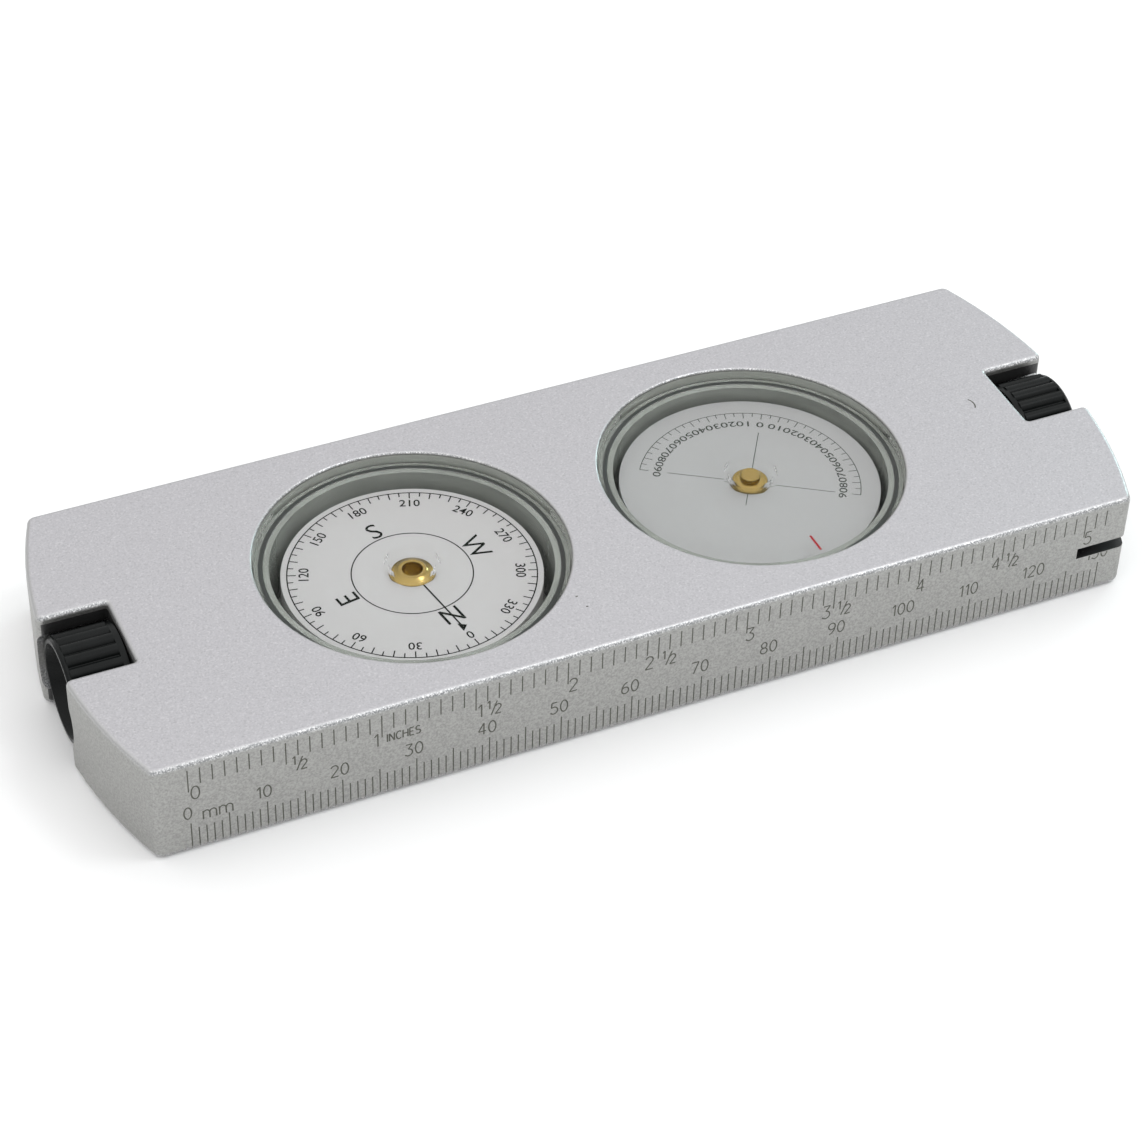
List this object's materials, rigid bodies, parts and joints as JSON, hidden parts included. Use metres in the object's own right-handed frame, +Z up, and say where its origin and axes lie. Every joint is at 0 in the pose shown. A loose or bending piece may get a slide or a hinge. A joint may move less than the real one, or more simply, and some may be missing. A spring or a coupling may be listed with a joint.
{
  "type": "sighting compass and clinometer",
  "caption": "Pocket sighting compass and clinometer: a flat metal block with two round windows, turning cards, focusing eyepieces and an engraved ruler edge.",
  "frame": {"origin": "centre of the block's flat underside", "axes": "+X along the block from the compass to the clinometer, -Y out of the ruler face, +Z up through the windows"},
  "size_m": [0.1478, 0.0522, 0.0152],
  "materials": {
    "block_metal": "bead-blasted, clear anodised",
    "plate_metal": "brushed, clear anodised",
    "steel": "bright turned steel",
    "clear_acrylic": "polished clear moulding",
    "seal_rubber": "smooth grey silicone",
    "card_white": "matt white, printed in black",
    "card_grey": "matt pale grey, printed in black",
    "magnet_metal": "sintered, nickel plated",
    "brass": "turned and polished",
    "jewel_stone": "polished synthetic ruby",
    "ring_black": "moulded black, slightly satin",
    "cell_black": "black anodised",
    "lens_glass": "polished, coated"
  },
  "bodies": {
    "block": {"body_block": "block_metal", "base_plate": "plate_metal", "base_screws": "steel", "lanyard_pin": "steel", "compass_pivot": "steel", "compass_pivot_socket": "brass", "clinometer_axle": "steel", "clinometer_axle_socket": "brass", "compass_capsule_cup": "clear_acrylic", "compass_seal": "seal_rubber", "compass_window": "clear_acrylic", "compass_eyepiece_sleeve": "brass", "compass_guide_pin": "steel", "clinometer_capsule_cup": "clear_acrylic", "clinometer_seal": "seal_rubber", "clinometer_window": "clear_acrylic", "clinometer_eyepiece_sleeve": "brass", "clinometer_guide_pin": "steel"},
    "compass_rose": {"compass_card": "card_white", "compass_magnets": "magnet_metal", "compass_hub": "brass", "compass_jewel": "jewel_stone"},
    "clinometer_dial": {"clinometer_card": "card_grey", "clinometer_weight": "brass", "clinometer_hub": "brass"},
    "compass_focus": {"compass_focus_ring": "ring_black", "compass_retaining_ring": "steel"},
    "compass_lens_carriage": {"compass_lens_cell": "cell_black", "compass_eye_lens": "lens_glass", "compass_lens_ring": "cell_black"},
    "clinometer_focus": {"clinometer_focus_ring": "ring_black", "clinometer_retaining_ring": "steel"},
    "clinometer_lens_carriage": {"clinometer_lens_cell": "cell_black", "clinometer_eye_lens": "lens_glass", "clinometer_lens_ring": "cell_black"}
  },
  "joints": [
    {"name": "compass_card_turn", "type": "hinge", "parent": "block", "child": "compass_rose", "pos_m": [-0.0248, 0, 0.0116], "axis": [0, 0, 1], "continuous": true},
    {"name": "clinometer_card_turn", "type": "hinge", "parent": "block", "child": "clinometer_dial", "pos_m": [0.0248, 0, 0.0116], "axis": [0, 0, 1], "continuous": true},
    {"name": "compass_focus_turn", "type": "hinge", "parent": "block", "child": "compass_focus", "pos_m": [-0.069, 0, 0.0076], "axis": [-1, 0, 0], "range_deg": [-150, 150]},
    {"name": "compass_lens_slide", "type": "slide", "parent": "block", "child": "compass_lens_carriage", "axis": [-1, 0, 0], "range_m": [-0.00116, 0.00116]},
    {"name": "clinometer_focus_turn", "type": "hinge", "parent": "block", "child": "clinometer_focus", "pos_m": [0.069, 0, 0.0076], "axis": [1, 0, 0], "range_deg": [-150, 150]},
    {"name": "clinometer_lens_slide", "type": "slide", "parent": "block", "child": "clinometer_lens_carriage", "axis": [1, 0, 0], "range_m": [-0.00116, 0.00116]}
  ],
  "couplings": [
    {"joint": "compass_focus_turn", "follows": "compass_lens_slide", "rad_per_m": 2244},
    {"joint": "clinometer_focus_turn", "follows": "clinometer_lens_slide", "rad_per_m": 2244}
  ]
}
